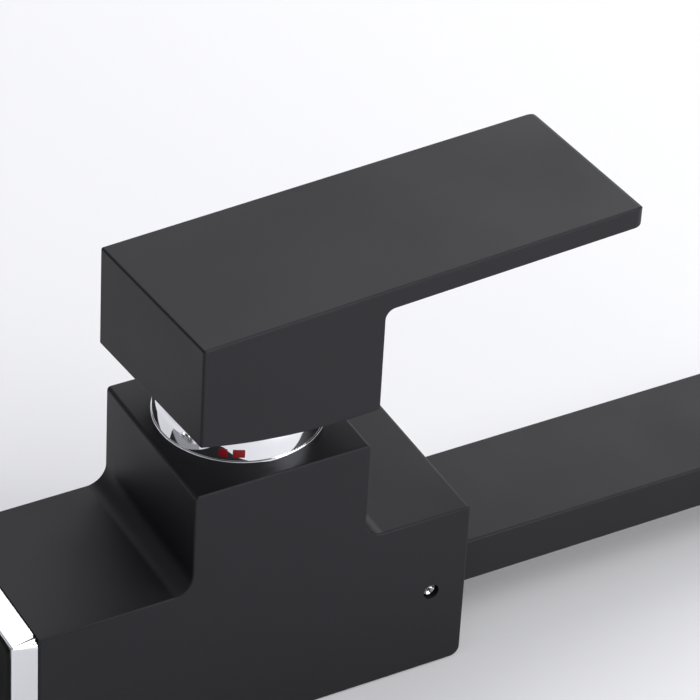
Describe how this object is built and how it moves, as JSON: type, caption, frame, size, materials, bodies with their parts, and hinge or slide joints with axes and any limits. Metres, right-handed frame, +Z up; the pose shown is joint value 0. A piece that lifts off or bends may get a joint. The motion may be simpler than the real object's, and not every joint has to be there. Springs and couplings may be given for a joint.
{
  "type": "wall mounted bath faucet",
  "caption": "Square single lever bath faucet for a wall, with a flat straight spout, a lever on a tower, a ceramic cartridge inside and a hollow threaded shank behind.",
  "frame": {"origin": "middle of the face that lies on the wall, on the axis of the mounting shank", "axes": "+Y into the wall along the shank, -Y along the spout, +Z up, -X the hot side"},
  "size_m": [0.0527, 0.3023, 0.1134],
  "materials": {
    "matte_black": "matte black paint",
    "chrome": "polished chrome plate",
    "black_rubber": "moulded",
    "brass": "turned",
    "steel": "plain",
    "white_ceramic": "lapped ceramic",
    "cartridge_plastic": "moulded",
    "red_enamel": "enamel",
    "blue_enamel": "enamel",
    "white_plastic": "moulded"
  },
  "bodies": {
    "body": {"faucet_body": "matte_black", "base_ring": "chrome", "base_gasket": "black_rubber", "mounting_shank": "steel", "cartridge_base": "cartridge_plastic", "base_seals": "black_rubber", "disc_seals": "black_rubber", "fixed_disc": "white_ceramic", "cartridge_housing": "cartridge_plastic", "cartridge_nut": "brass", "dome_cover": "chrome", "hot_mark": "red_enamel", "cold_mark": "blue_enamel", "spout": "matte_black", "spout_o_rings": "black_rubber", "spout_set_screw": "steel", "aerator_housing": "chrome", "aerator_insert": "white_plastic", "aerator_seal": "black_rubber"},
    "turret": {"turret": "cartridge_plastic", "pivot_pin": "steel"},
    "lever": {"lever": "matte_black", "stem": "steel", "lever_set_screw": "steel"},
    "carrier": {"disc_carrier": "cartridge_plastic", "moving_disc": "white_ceramic"}
  },
  "joints": [
    {"name": "lever_swivel", "type": "hinge", "parent": "body", "child": "turret", "pos_m": [0, -0.0673, 0.0498], "axis": [0, 0, 1], "range_deg": [-49.1, 40.9]},
    {"name": "lever_lift", "type": "hinge", "parent": "turret", "child": "lever", "pos_m": [0, -0.0673, 0.0458], "axis": [-0.9974, -0.0715, 0], "range_deg": [0, 25]},
    {"name": "disc_slide", "type": "slide", "parent": "turret", "child": "carrier", "axis": [0.0715, -0.9974, 0], "range_m": [0, 0.0046]}
  ],
  "couplings": [
    {"joint": "disc_slide", "follows": "lever_lift", "m_per_rad": 0.010267}
  ]
}
